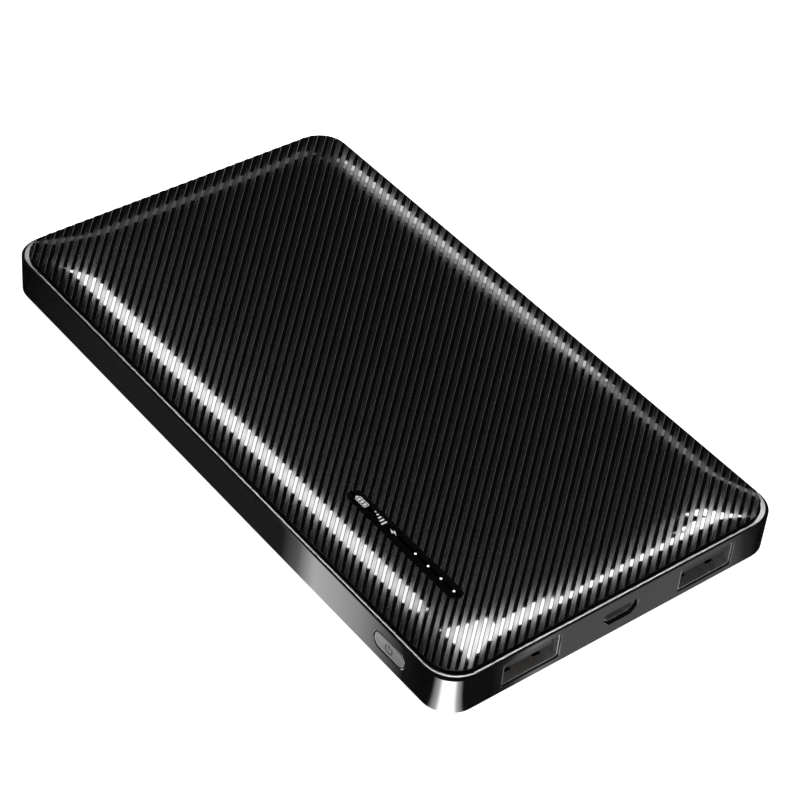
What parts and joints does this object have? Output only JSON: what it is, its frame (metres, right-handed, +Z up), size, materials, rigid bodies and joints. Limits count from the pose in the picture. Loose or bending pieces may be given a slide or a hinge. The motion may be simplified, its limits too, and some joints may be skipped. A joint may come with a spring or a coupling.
{
  "type": "power bank",
  "caption": "Slim rectangular power bank with a ribbed crowned cover, a polished dark band, USB-A and micro-USB ports, a side button and an indicator window.",
  "frame": {"origin": "middle of the footprint, on the surface that the power bank lies on", "axes": "+Z up out of the ribbed cover, +Y along the length away from the port end, +X across the width away from the button side"},
  "size_m": [0.08, 0.143, 0.0126],
  "materials": {
    "band_metal": "polished dark anodised, bright bevelled edges",
    "cover_plastic": "glossy ribs between satin ones",
    "base_plastic": "fine satin grain",
    "window_plastic": "smoked, polished",
    "button_plastic": "satin",
    "baffle_plastic": "matt",
    "guide_plastic": "clear, polished",
    "lamp": "lens",
    "board_laminate": "solder mask",
    "screw_steel": "zinc plated",
    "switch_plastic": "matt",
    "plunger_plastic": "satin",
    "port_steel": "nickel plated",
    "port_plastic": "moulded",
    "contact_metal": "gold flashed",
    "ferrite": "sintered",
    "winding_copper": "enamelled copper",
    "chip_epoxy": "moulded",
    "capacitor_ceramic": "sintered",
    "can_aluminium": "satin",
    "pouch_foil": "satin laminate",
    "tab_nickel": "rolled",
    "tape_film": "polyimide",
    "pad_foam": "closed cell foam",
    "sensor_epoxy": "dipped"
  },
  "bodies": {
    "housing": {"mid_frame": "band_metal", "port_web": "band_metal", "top_cover": "cover_plastic", "bottom_cover": "base_plastic", "indicator_window": "window_plastic", "light_baffle": "baffle_plastic", "light_guides": "guide_plastic", "indicator_leds": "lamp", "main_board": "board_laminate", "board_screws": "screw_steel", "switch_body": "switch_plastic", "usb_a_shell_left": "port_steel", "usb_a_tongue_left": "port_plastic", "usb_a_contacts_left": "contact_metal", "usb_a_shell_right": "port_steel", "usb_a_tongue_right": "port_plastic", "usb_a_contacts_right": "contact_metal", "micro_usb_shell": "port_steel", "micro_usb_tongue": "port_plastic", "micro_usb_contacts": "contact_metal", "power_inductor": "ferrite", "inductor_winding": "winding_copper", "charge_controller": "chip_epoxy", "power_mosfets": "chip_epoxy", "ceramic_capacitors": "capacitor_ceramic", "polymer_capacitors": "can_aluminium", "chip_resistors": "chip_epoxy", "battery_cell": "pouch_foil", "cell_tabs": "tab_nickel", "terrace_tape": "tape_film", "foam_pads": "pad_foam", "thermistor": "sensor_epoxy"},
    "button": {"power_button": "button_plastic"},
    "plunger": {"switch_plunger": "plunger_plastic"}
  },
  "joints": [
    {"name": "button_press", "type": "slide", "parent": "housing", "child": "button", "axis": [1, 0, 0], "range_m": [0, 0.0003], "stiffness_N_per_m": 5000},
    {"name": "plunger_slide", "type": "slide", "parent": "housing", "child": "plunger", "axis": [1, 0, 0], "range_m": [0, 0.0003]}
  ],
  "couplings": [
    {"joint": "plunger_slide", "follows": "button_press", "ratio": 1}
  ]
}
